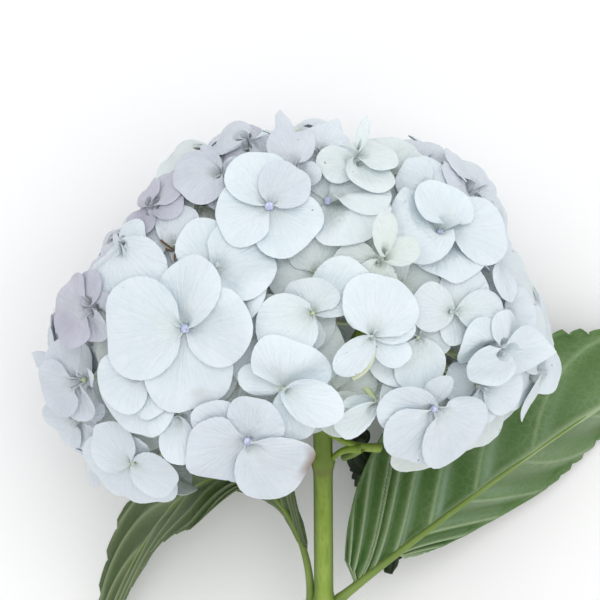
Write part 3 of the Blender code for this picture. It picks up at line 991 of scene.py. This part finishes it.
# the bead's points: a small four-lobed ball on the floret's middle
def beadPoints(ball, centre, normal, radius):
    turn = np.arctan2(ball[:, 1], ball[:, 0])
    lobes = 1.0 + 0.13 * np.abs(np.cos(2 * turn)) * np.sqrt(np.clip(1 - ball[:, 2] ** 2, 0, 1))
    size = radius * (0.85 + 0.3 * draws.random())
    side = np.array(normal.orthogonal().normalized())
    up = np.array(normal)
    other = np.cross(up, side)
    ball = ball * (lobes * size)[:, None]
    middle = np.array(centre) + up * (1.0 + 0.4 * size)
    return middle + ball[:, :1] * side + ball[:, 1:2] * other + ball[:, 2:] * up


def buildHearts(florets, blank, knuckles, materials):
    rest = readPoints(blank.data)
    isBead = rest[:, 0] > heart["beadAside"] / 2
    for number, floret in enumerate(florets, 1):
        centre = Vector(floret["centre"]) + bloom["middle"]
        normal = Vector(floret["normal"])
        knuckle = max(knuckles, key=lambda k: k[0].dot(floret["direction"]))[1]
        inward = (centre - knuckle).normalized()
        start = knuckle + inward * (bloom["knuckleRadius"] * 0.8)
        end = centre - normal * 0.2
        reach = (end - start).length
        route = interpolate_bezier(start, start + inward * reach * 0.4, end - normal * reach * 0.35, end,
                                   heart["routePoints"])
        big = bool(floret.get("bead", 0))
        points = np.empty_like(rest)
        points[~isBead] = stalkPoints(rest[~isBead], route)
        points[isBead] = beadPoints(rest[isBead] - np.array([heart["beadAside"], 0.0, 0.0]), centre, normal,
                                    heart["beadRadius" if big else "smallBead"])
        made = copyBlank(blank, f"{floret['name']}_stalk")
        writePoints(made.data, toRow(points))
        paint(made.data, "tone", np.full((len(points), 3), 1.0 if big else 0.25 * (number % 3)))
        made.data.materials.append(materials["stalk"])
        made.data.materials.append(materials["bead"])
        for face in made.data.polygons:
            face.material_index = int(isBead[face.vertices[0]])
        finishPiece(made, "ray_green")
    print("stalks and beads set")


# a closed tube along a route, with a radius at each of its points
def sweepTube(name, route, radii, sides):
    made = steppedCylinder(sides, len(route) - 2)
    rest = readPoints(made.data)
    share = (rest[:, 2] + 1.0) / 2.0
    at = np.rint(share * (len(route) - 1)).astype(int)
    side = None
    sidesAt, othersAt = [], []
    for i in range(len(route)):
        tangent = (route[min(i + 1, len(route) - 1)] - route[max(i - 1, 0)]).normalized()
        side = tangent.orthogonal() if side is None else side - tangent * side.dot(tangent)
        side.normalize()
        sidesAt.append(np.array(side))
        othersAt.append(np.array(tangent.cross(side)))
    route = np.array([list(p) for p in route])
    radii = np.array(radii)
    points = (route[at] + np.array(sidesAt)[at] * (rest[:, 0] * radii[at])[:, None]
              + np.array(othersAt)[at] * (rest[:, 1] * radii[at])[:, None])
    writePoints(made.data, toRow(points))
    made.name = made.data.name = name
    onlySelect(made)
    bpy.ops.object.shade_smooth_by_angle(angle=math.radians(50.0))
    return made, at


stemShape = {
    "top": Vector((12.2, -30.0, 66.0)),
    "cutEnd": Vector((14.0, -266.0, 3.6)),
    "radii": (3.35, 3.55),
    "hubRadius": 5.2,
    "nodes": ((0.08, 1.1, 0.008), (0.295, 1.5, 0.012), (0.72, 1.2, 0.010)),
    "steps": 220,
    "sides": 32,
    "hubSpread": 5.0,
    "roundTop": (0.98, 0.9, 0.75, 0.55, 0.3),
    "collarBrown": 0.55,
    # painted shade: the stem darkens towards its left and right flanks as seen from above, from this share of
    # its radius out, and at its top under the bloom
    "flankFrom": 0.30,
    "shadedTop": (0.45, 0.12, 0.03),
}


def buildStem(material):
    route, radii = [], []
    length = (stemShape["cutEnd"] - stemShape["top"]).length
    for i in range(stemShape["steps"] + 1):
        share = i / stemShape["steps"]
        place = stemShape["top"].lerp(stemShape["cutEnd"], share)
        radius = between(stemShape["radii"], share)
        for where, swelling, width in stemShape["nodes"]:
            radius += swelling * math.exp(-(((share - where) / width) ** 2))
        hub = math.exp(-((share * length / stemShape["hubSpread"]) ** 2))
        radius += (stemShape["hubRadius"] - stemShape["radii"][0]) * hub
        route.append(place)
        radii.append(radius)
    up = (stemShape["top"] - stemShape["cutEnd"]).normalized()
    cap = [(stemShape["top"] + up * stemShape["hubRadius"] * s, stemShape["hubRadius"] * math.sqrt(1 - s * s))
           for s in stemShape["roundTop"]]
    route = [c[0] for c in cap] + route
    radii = [c[1] for c in cap] + radii
    made, at = sweepTube("stem_shoot", route, radii, stemShape["sides"])
    share = np.clip((at - len(cap)) / stemShape["steps"], 0, 1)
    brown = np.zeros(len(at))
    for where, _, width in stemShape["nodes"]:
        brown += stemShape["collarBrown"] * np.exp(-(((share - where - 0.008) / (width * 0.55)) ** 2))
    # painted shade on the stem: its flanks as seen from above and its top under the bloom are darkened
    centreX = np.array([p.x for p in route])[at]
    aside = np.abs(readPoints(made.data)[:, 0] / mm + planCentre.x - centreX) / np.array(radii)[at]
    flankShade = np.clip((aside - stemShape["flankFrom"]) / (1.0 - stemShape["flankFrom"]), 0, 1) ** 1.3 * 0.9
    shade, below, over = stemShape["shadedTop"]
    flankShade = np.maximum(flankShade, shade * np.clip((below - share) / over, 0, 1))
    tone = np.stack([np.clip(brown, 0, 0.7), (share > 0.9995) * 0.8, flankShade], 1)
    paint(made.data, "tone", tone)
    made.data.materials.append(material)
    finishPiece(made, "stem_green", "stem")


branch = {"radius": 2.1, "thinsBy": 0.5, "steps": 14, "sides": 14, "roundEnd": (0.3, 0.6, 0.85, 0.97)}


def buildRays(knuckles, material):
    steps = branch["steps"]
    swelling = bloom["knuckleRadius"] * 0.85
    for number, (_, knuckle) in enumerate(knuckles, 1):
        along = (knuckle - bloom["hub"]).normalized()
        start = bloom["hub"] + along * (stemShape["hubRadius"] * 0.75)
        reach = (knuckle - start).length
        route, radii = [], []
        for i in range(steps + 1):
            place = start + along * (reach * i / steps)
            bulge = math.sqrt(max(swelling**2 - (place - knuckle).length ** 2, 0.0))
            route.append(place)
            radii.append(max(branch["radius"] - branch["thinsBy"] * i / steps, bulge))
        for step in branch["roundEnd"]:
            route.append(knuckle + along * (swelling * step))
            radii.append(swelling * math.sqrt(1 - step * step))
        made, _ = sweepTube(f"branch_{number}", route, radii, branch["sides"])
        made.data.materials.append(material)
        finishPiece(made, "ray_green", f"ray_{number}")


shoot = {
    "upper": ((13.5, -38.0, 65.5), (18.0, -39.5, 66.5), (21.0, -43.5, 67.0), (32.0, -43.5, 59.0)),
    "lower": ((14.5, -49.0, 61.5), (17.0, -44.5, 63.0), (20.0, -43.5, 65.5), (25.5, -43.6, 65.0)),
    "radii": (0.95, 1.75),
    "points": 14,
}


def buildShoot(material):
    parts = []
    for name in ("upper", "lower"):
        route = interpolate_bezier(*(Vector(p) for p in shoot[name]), shoot["points"])
        radii = [between(shoot["radii"], (i / (shoot["points"] - 1)) ** 2) for i in range(shoot["points"])]
        made, at = sweepTube("shoot_" + name, route, radii, 16)
        paint(made.data, "tone", np.zeros((len(at), 3)))
        made.data.materials.append(material)
        parts.append(made)
    finishPiece(parts[0], "stem_green", "side_shoot")
    finishPiece(parts[1], "stem_green")


# what shows of three florets' insides: curved stalks in the open, and withered stamens
openings = (
    {"name": "open_stalk_1", "floret": (28.0, -3.9), "radii": (0.9, 1.15), "look": "stalk",
     "route": ((0.0, 0.0, -0.6), (0.6, -3.6, 0.6), (1.4, -10.0, 0.0), (-6.0, -13.5, -4.0))},
    {"name": "open_stalk_2", "floret": (29.2, -24.9), "radii": (0.95, 1.3), "look": "stalk",
     "route": ((0.0, 0.0, -0.4), (-1.8, 2.6, 0.2), (-4.6, 5.6, 0.4), (-8.0, 9.6, -5.0))},
    {"name": "stamen_1", "floret": (-37.5, 25.5), "radii": (0.22, 0.38), "look": "stamen",
     "route": ((0.5, -0.8, 1.0), (-1.0, 0.0, 3.0), (-2.5, 1.0, 4.0), (-4.2, 2.6, 4.4))},
    {"name": "stamen_2", "floret": (-37.5, 25.5), "radii": (0.20, 0.34), "look": "stamen",
     "route": ((0.9, -1.6, 1.0), (0.6, -1.8, 3.0), (0.2, -2.6, 4.0), (0.6, -4.4, 4.8))},
    {"name": "stamen_3", "floret": (-37.5, 25.5), "radii": (0.18, 0.34), "look": "stamen",
     "route": ((0.2, -1.2, 1.0), (-0.6, -1.2, 3.0), (-1.6, -0.9, 4.0), (-2.4, -0.4, 4.8))},
)
openingPoints = 16


def buildOpenings(florets, materials):
    for opening in openings:
        centre = next(Vector(f["centre"]) for f in florets if f["seen"] and f["at"] == opening["floret"])
        bends = (centre + bloom["middle"] + Vector(p) for p in opening["route"])
        route = interpolate_bezier(*bends, openingPoints)
        made, _ = sweepTube(opening["name"], route, np.linspace(*opening["radii"], openingPoints), 12)
        made.data.materials.append(materials[opening["look"]])
        finishPiece(made, "ray_green")


# each leaf has two sides: the first value of a pair is for the one at negative across
leafUsual = {
    "shift": (0.0, 0.0, 0.0),
    "crowding": 0.85,
    "sweep": ((0.19, 0.13), (0.19, 0.13)),
    "stagger": 0.42,
    "veinFade": 0.0,
    "baseShade": 0.0,
}
leaves = {
    "leaf_right": {
        "midrib": ((18.5, -97.0, 47.5), (55.0, -68.0, 45.0), (100.0, -36.0, 34.0), (142.0, -12.0, 8.0)),
        "joint": ((13.3, -104.5, 46.3), (15.6, -100.5, 47.0)), "petiole": (2.1, 0.45),
        "face": (-0.24, 0.35, -0.90), "fold": math.radians(33.0),
        "bladeFrom": 0.05, "halfWidth": 38.0, "bias": 0.95, "sides": (1.14, 0.72), "begin": (0.0, 0.13),
        "teeth": 24, "toothFrom": (0.34, 0.55), "toothDepth": 3.2,
        "veins": 8.0, "crowding": 0.5, "sweep": ((0.28, 0.10), (0.12, 0.10)), "stagger": 0.12,
        "veinFade": 0.55, "quilt": 2.0, "ridge": 0.6, "sheen": 0.75,
    },
    "leaf_left": {
        "midrib": ((8.0, -99.0, 45.5), (10.0, -62.0, 54.0), (-30.0, -14.0, 24.0), (-68.0, -114.0, 4.5)),
        "joint": ((13.0, -107.0, 45.5), (9.6, -102.5, 45.5)), "petiole": (1.9, 0.5),
        "face": (-0.85, -0.20, 0.50), "faceEnd": (-0.62, 0.62, 0.48), "fold": math.radians(14.0),
        "bladeFrom": 0.17, "halfWidth": 27.0, "bias": 1.2, "sides": (1.0, 0.85), "begin": (0.0, 0.02),
        "lateSide": (0.26, 0.40, 0.22), "teeth": 20, "toothFrom": (0.5, 0.62), "toothDepth": 2.6,
        "veins": 8, "quilt": -1.2, "ridge": -0.4, "sheen": 0.35, "baseShade": 0.85,
    },
    "leaf_back": {
        "midrib": ((16.8, -47.0, 58.0), (25.0, -38.0, 30.0), (38.0, -52.0, 18.0), (33.0, -90.5, 12.0)),
        "joint": ((25.5, -43.5, 64.5), (23.0, -45.5, 59.5)), "petiole": (1.3, 0.5), "shift": (3.0, 0.0, -2.6),
        "face": (-0.50, 0.20, 0.84), "fold": math.radians(10.0),
        "bladeFrom": 0.20, "halfWidth": 15.0, "bias": 0.82, "sides": (0.80, 1.0), "begin": (0.0, 0.0),
        "teeth": 16, "toothFrom": (0.25, 0.25), "toothDepth": 1.6,
        "veins": 6, "quilt": -0.4, "ridge": -0.3, "sheen": 0.0,
    },
}
leafGrid = {"across": 118, "along": 300, "thickness": 0.45, "restsAt": 0.35, "spineSteps": 400}
# the midrib in so many points, and how many steps of it the rib under the blade covers
midribPoints = 60
ribSteps = 56


def bySide(across, pair):
    return np.where(across > 0, pair[1], pair[0])


# for each point of the blade: its place on the midrib, and which ways its face and its side point
def leafSpine(leaf, along):
    steps = leafGrid["spineSteps"]
    midrib = interpolate_bezier(*(Vector(p) for p in leaf["midrib"]), steps + 1)
    midrib = np.array([list(p) for p in midrib]) + np.array(leaf["shift"])
    share = leaf["bladeFrom"] + (1.0 - leaf["bladeFrom"]) * along
    at = np.minimum((share * steps).astype(int), steps - 1)
    part = (share * steps - at)[:, None]
    centre = midrib[at] * (1 - part) + midrib[at + 1] * part
    tangent = midrib[at + 1] - midrib[at]
    tangent /= np.linalg.norm(tangent, axis=1, keepdims=True)
    faceStart = np.array(leaf["face"])
    faceEnd = np.array(leaf.get("faceEnd", leaf["face"]))
    face = faceStart + (faceEnd - faceStart) * share[:, None]
    face -= tangent * (face * tangent).sum(1, keepdims=True)
    face /= np.linalg.norm(face, axis=1, keepdims=True)
    bladeLength = np.linalg.norm(np.diff(midrib, axis=0), axis=1).sum() * (1.0 - leaf["bladeFrom"])
    return centre, face, np.cross(face, tangent), bladeLength


# how wide each side of the blade is, with its teeth
def leafWidth(leaf, across, along):
    begin = bySide(across, leaf["begin"])
    grown = np.clip((along - begin) / (1.0 - begin), 0.0, 1.0)
    outline = np.sin(np.pi * (0.03 + 0.94 * grown) ** leaf["bias"]) ** 0.85
    outline = outline * np.clip(grown / 0.02, 0.15, 1.0) * bySide(across, leaf["sides"])
    if "lateSide" in leaf:
        least, start, span = leaf["lateSide"]
        late = least + (1.0 - least) * np.clip((grown - start) / span, 0, 1)
        outline = outline * bySide(across, (1.0, late))
    saw = (along * leaf["teeth"]) % 1.0
    tooth = (np.sqrt(saw) * (1.0 - np.clip((saw - 0.80) / 0.20, 0, 1)) - 0.5) * leaf["toothDepth"]
    toothed = np.clip((along - bySide(across, leaf["toothFrom"])) / 0.12, 0, 1)
    tooth = tooth * toothed * np.clip((0.985 - along) / 0.03, 0, 1)
    return leaf["halfWidth"] * outline + tooth * np.clip((np.abs(across) - 0.86) / 0.14, 0, 1)


# side veins leave the midrib and sweep forward towards the margin: how much of a vein each point
# is, how far it bulges between two veins, its place from one vein to the next, and how they fade
def leafVeins(leaf, across, along, width, bladeLength):
    sweep, sweepMore = (bySide(across, pair) for pair in zip(*leaf["sweep"]))
    crowding = leaf["crowding"]
    out = np.abs(across)
    from0 = along - sweep * out - sweepMore * across**2 + 0.02
    phase = np.where(from0 > 0, np.abs(from0) ** crowding, 1.1 * from0) * leaf["veins"]
    steep = crowding * np.maximum(from0, 0.02) ** (crowding - 1.0)
    steep = np.where(from0 > 0, steep, 1.1) * leaf["veins"]
    slant = (sweep + 2 * sweepMore * out) / np.maximum(width, 4.0)
    perMm = steep * np.hypot(1.0 / bladeLength, slant)
    flow = (phase + bySide(across, (0.0, leaf["stagger"]))) % 1.0
    beside = np.abs(flow - 0.5)  # 0.5 on a vein, 0 between veins
    fade = np.clip(out / 0.06, 0, 1) * np.clip((1.0 - out) / 0.10, 0, 1)
    vein = np.exp(-(((0.5 - beside) / (0.62 * perMm)) ** 2)) * fade
    quilt = (np.cos(beside * math.tau) * 0.5 + 0.5) * fade
    return vein, quilt, flow, fade


def buildBlade(name, leaf, material):
    deselectAll()
    bpy.ops.mesh.primitive_grid_add(
        x_subdivisions=leafGrid["across"], y_subdivisions=leafGrid["along"], size=2.0)
    made = bpy.context.object
    rest = readPoints(made.data)
    across, along = rest[:, 0], (rest[:, 1] + 1.0) / 2.0
    out = np.abs(across)
    centre, face, side, bladeLength = leafSpine(leaf, along)
    width = leafWidth(leaf, across, along)
    vein, quilt, flow, fade = leafVeins(leaf, across, along, width, bladeLength)
    rib = np.exp(-((across / 0.030) ** 2))
    height = -leaf["ridge"] * np.maximum(vein * (1.0 - 0.6 * out), rib * 1.2)
    height += leaf["quilt"] * quilt
    wave = 0.9 * np.sin(along * 17.0 + np.sign(across)) * across**2
    points = (centre + side * (across * width * math.cos(leaf["fold"]))[:, None]
              + face * (out * width * math.sin(leaf["fold"]) + height + wave)[:, None])
    points[:, 2] = np.maximum(points[:, 2], leafGrid["restsAt"])
    writePoints(made.data, toRow(points))
    # painted sheen: a light strip beside each vein, strongest near the base, stands for the reflection on the
    # pleats
    sheen = np.exp(-(((flow - 0.24) / 0.13) ** 2)) * (1.0 - 0.7 * out) * np.clip(1.15 - 1.5 * along, 0, 1)
    sheen = sheen * leaf["sheen"] * fade * bySide(across, (1.0, 0.5))
    # painted shade: the blade darkens in the hollows between the veins and, with baseShade, over its base
    shaded = np.clip(1.0 - along / 0.3, 0, 1) * bySide(across, (1.0, 0.35)) * leaf["baseShade"]
    shown = 0.8 * (1.0 - leaf["veinFade"] * np.clip(along / 0.5, 0, 1))
    veined = np.maximum(vein * shown, rib) * (1 - shaded)
    valley = np.maximum(np.clip(quilt, 0, 1) * 0.6, shaded)
    paint(made.data, "tone", np.stack([veined, valley, sheen], 1))
    onlySelect(made)
    bpy.ops.object.shade_smooth()
    thicken(made, leafGrid["thickness"])
    made.data.materials.append(material)
    made.name = made.data.name = name.replace("leaf_", "blade_")
    finishPiece(made, "leaf_green", name)


# the petiole and the thick rib that carries on from it under the blade
def buildPetiole(name, leaf, material):
    shift = Vector(leaf["shift"])
    midrib = interpolate_bezier(*(Vector(p) for p in leaf["midrib"]), midribPoints)
    route = [Vector(p) for p in leaf["joint"]] + [p + shift for p in midrib[: ribSteps + 1]]
    thick = leaf["petiole"][0]
    radii = [thick * 1.25, thick * 1.1]
    radii += [between(leaf["petiole"], (i / ribSteps) ** 0.42) for i in range(ribSteps + 1)]
    stalk, at = sweepTube(name.replace("leaf_", "petiole_"), route, radii, 16)
    tone = np.zeros((len(at), 3))
    tone[:, 1] = 0.25
    paint(stalk.data, "tone", tone)
    stalk.data.materials.append(material)
    finishPiece(stalk, "stem_green")


materials = {
    "sepal": makeSepalMaterial(),
    "bead": makeBeadMaterial(),
    "stalk": makeStalkMaterial("stalkPale", (0.72, 0.76, 0.55), (0.58, 0.68, 0.38)),
    "ray": makeStalkMaterial("branchGreen", (0.42, 0.52, 0.16), (0.30, 0.42, 0.09)),
    "stem": makeStemMaterial(),
    "stamen": makeStalkMaterial("stamenBrown", (0.30, 0.17, 0.09), (0.10, 0.04, 0.02)),
    "petiole": makeStalkMaterial("petioleGreen", (0.20, 0.29, 0.065), (0.15, 0.23, 0.04)),
    "leaf_right": makeLeafMaterial("leafUnderside", {
        "green": (0.085, 0.17, 0.045), "light": (0.135, 0.225, 0.085), "vein": (0.36, 0.46, 0.27),
        "valley": (0.06, 0.135, 0.025), "sheen": (0.34, 0.46, 0.36), "roughness": 0.38,
        "netStrength": 0.15, "netBump": 0.25}),
    "leaf_left": makeLeafMaterial("leafOlive", {
        "green": (0.075, 0.115, 0.035), "light": (0.13, 0.17, 0.075), "vein": (0.24, 0.30, 0.16),
        "valley": (0.035, 0.07, 0.015), "sheen": (0.24, 0.31, 0.19), "roughness": 0.42,
        "netStrength": 0.12, "netBump": 0.2}),
    # the back leaf hangs in shade: its near-black greens are its own dark green with painted shade
    "leaf_back": makeLeafMaterial("leafDark", {
        "green": (0.007, 0.016, 0.004), "light": (0.014, 0.026, 0.008), "vein": (0.03, 0.05, 0.015),
        "valley": (0.004, 0.010, 0.003), "sheen": (0.02, 0.04, 0.02), "roughness": 0.6,
        "netStrength": 0.2, "netBump": 0.3}),
}

knuckles = makeKnuckles()
florets = listFlorets()
sepalBlank = makeSepalBlank()
buildFlorets(florets, sepalBlank, materials)
heartBlank = makeHeartBlank()
buildHearts(florets, heartBlank, knuckles, materials)
for blank in (sepalBlank, heartBlank):
    bpy.data.objects.remove(blank, do_unlink=True)
buildStem(materials["stem"])
buildRays(knuckles, materials["ray"])
buildShoot(materials["stem"])
buildOpenings(florets, materials)
for leafName, leafShape in leaves.items():
    leafShape = {**leafUsual, **leafShape}
    buildBlade(leafName, leafShape, materials[leafName])
    buildPetiole(leafName, leafShape, materials["petiole"])
print("stem, branches and leaves made")


deselectAll()
bpy.ops.mesh.primitive_plane_add(size=12.0, location=(0.0, 0.0, 0.0))
table = bpy.context.object
table.name = "table"
tableMaterial, _, tableShader = newMaterial("tablePale", 0.9, 0.1)
tableShader.inputs["Base Color"].default_value = (0.95, 0.95, 0.95, 1.0)
table.data.materials.append(tableMaterial)

studio = {
    "world": ((1.0, 1.0, 1.0), 0.87),
    "lamps": (
        {"at": (0.12, 0.30, 1.5), "size": 1.0, "power": 8.0},
    ),
}
world = bpy.data.worlds.new("studio")
bpy.context.scene.world = world
world.use_nodes = True
background = world.node_tree.nodes["Background"]
background.inputs["Color"].default_value = (*studio["world"][0], 1.0)
background.inputs["Strength"].default_value = studio["world"][1]
bloomPlace = Vector(toRow([bloom["middle"]])[0])
for number, lamp in enumerate(studio["lamps"], 1):
    light = bpy.data.lights.new(f"softLamp{number}", "AREA")
    light.size = lamp["size"]
    light.energy = lamp["power"]
    holder = bpy.data.objects.new(f"softLamp{number}", light)
    bpy.context.collection.objects.link(holder)
    holder.location = bloomPlace + Vector(lamp["at"])
    holder.rotation_euler = (bloomPlace - holder.location).to_track_quat("-Z", "Y").to_euler()

camera = bpy.data.cameras.new("camera")
camera.lens = viewing["lens"]
camera.sensor_width = 36.0
camera.clip_end = 20.0
cameraHolder = bpy.data.objects.new("camera", camera)
bpy.context.collection.objects.link(cameraHolder)
cameraHolder.location = (*toRow([(*viewing["over"], 0.0)])[0][:2], viewing["height"] * mm)
cameraHolder.rotation_euler = (0.0, 0.0, 0.0)
bpy.context.scene.camera = cameraHolder
bpy.context.scene.view_settings.view_transform = "Standard"
bpy.context.scene.view_settings.look = "None"
